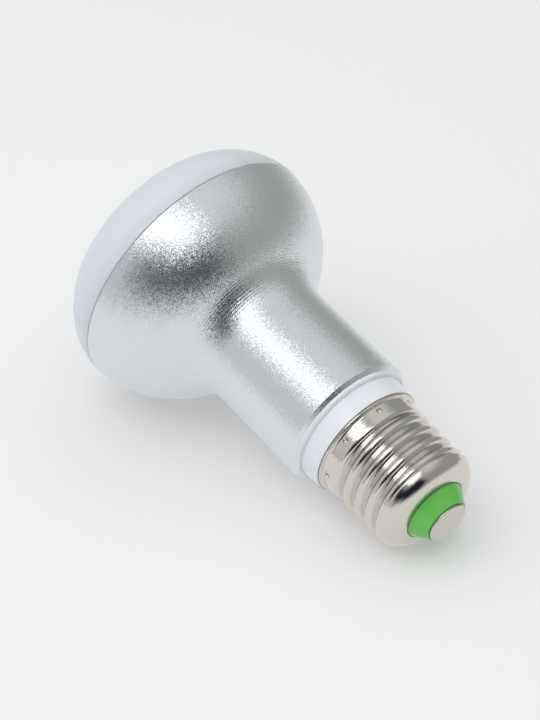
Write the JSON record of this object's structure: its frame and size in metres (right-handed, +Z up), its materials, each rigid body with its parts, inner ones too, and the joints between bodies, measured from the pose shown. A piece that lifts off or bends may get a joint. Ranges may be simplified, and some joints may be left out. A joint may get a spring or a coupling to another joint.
{
  "type": "reflector bulb",
  "caption": "Reflector bulb with a rounded aluminium head and straight neck, a shallow opal cover, a white collar and a screw cap with a green insulator.",
  "frame": {"origin": "on the floor under the middle of the bulb as it lies on its side", "axes": "+Z up, +X along the floor towards the screw cap, +Y completes a right-handed frame"},
  "size_m": [0.1056, 0.0634, 0.0624],
  "materials": {
    "opal_plastic": "satin opal white",
    "blasted_aluminium": "fine bead-blasted, clear anodised",
    "white_plastic": "gloss white",
    "nickel_plate": "polished nickel plate",
    "green_insulator": "gloss green",
    "nickel_contact": "satin nickel plate"
  },
  "bodies": {
    "root": {"diffuser_cover": "opal_plastic", "reflector_housing": "blasted_aluminium", "base_collar": "white_plastic", "screw_shell": "nickel_plate", "cap_insulator": "green_insulator", "contact_disc": "nickel_contact"}
  },
  "joints": []
}
